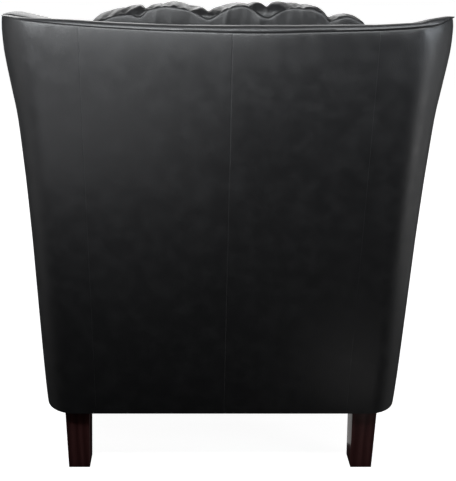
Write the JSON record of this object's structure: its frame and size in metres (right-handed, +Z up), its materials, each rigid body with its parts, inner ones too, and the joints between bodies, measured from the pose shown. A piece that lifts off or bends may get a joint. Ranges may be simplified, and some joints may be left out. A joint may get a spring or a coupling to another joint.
{
  "type": "upholstered accent chair",
  "caption": "Leather accent chair with a flared shell back, sloping wings, a buttoned inside back with a scalloped crown, a loose seat cushion and tapered dark wood legs.",
  "frame": {"origin": "on the floor, under the middle of the chair's bounding box", "axes": "+Z up, -Y towards the sitter's front, +X to the sitter's left"},
  "size_m": [0.757, 0.8102, 0.923],
  "materials": {
    "hide": "satin",
    "leg_wood": "satin",
    "frame_wood": "matte",
    "foam": "matte",
    "felt": "matte",
    "deck_fabric": "matte",
    "webbing": "matte",
    "twine": "matte",
    "lining_board": "matte",
    "dust_fabric": "matte",
    "zip_plastic": "matte",
    "glide_plastic": "matte",
    "hardware_steel": "satin",
    "spring_steel": "satin"
  },
  "bodies": {
    "chair": {"leg_front_left": "leg_wood", "leg_front_right": "leg_wood", "leg_rear_left": "leg_wood", "leg_rear_right": "leg_wood", "leg_glides": "glide_plastic", "leg_plates": "hardware_steel", "leg_bolts": "hardware_steel", "side_seat_rail_left": "frame_wood", "side_seat_rail_right": "frame_wood", "front_seat_rail": "frame_wood", "back_seat_rail": "frame_wood", "corner_blocks": "frame_wood", "back_post_left": "frame_wood", "back_post_right": "frame_wood", "back_top_rail": "frame_wood", "back_lower_rail": "frame_wood", "rear_corner_plies": "frame_wood", "wing_board_left": "frame_wood", "wing_board_right": "frame_wood", "arm_posts": "frame_wood", "arm_tack_rails": "frame_wood", "arm_front_blocks": "frame_wood", "frame_screws": "hardware_steel", "seat_springs": "spring_steel", "spring_clips": "spring_steel", "deck_pad": "foam", "deck_cloth": "deck_fabric", "front_edge_foam": "foam", "front_border_cover": "hide", "back_webbing": "webbing", "back_felt": "felt", "back_foam": "foam", "inside_back_cover": "hide", "tuft_buttons": "hide", "button_twines": "twine", "arm_pad_left": "foam", "arm_pad_right": "foam", "wing_pad_left": "foam", "wing_pad_right": "foam", "arm_cover_left": "hide", "arm_cover_right": "hide", "rim_pad": "foam", "rim_cover": "hide", "outer_back_panel_left": "hide", "outer_back_panel_right": "hide", "outer_side_cover_left": "hide", "outer_side_cover_right": "hide", "outer_back_board": "lining_board", "outer_side_board_left": "lining_board", "outer_side_board_right": "lining_board", "arm_front_panel_left": "hide", "arm_front_panel_right": "hide", "arm_front_welts": "hide", "dust_cover": "dust_fabric"},
    "seat_cushion": {"cushion_core": "foam", "cushion_panels": "hide", "cushion_boxing": "hide", "cushion_welts": "hide", "cushion_zip": "zip_plastic"}
  },
  "joints": [
    {"name": "seat_cushion_lift", "type": "slide", "parent": "chair", "child": "seat_cushion", "axis": [0, 0, 1], "range_m": [0, 0.6]}
  ]
}
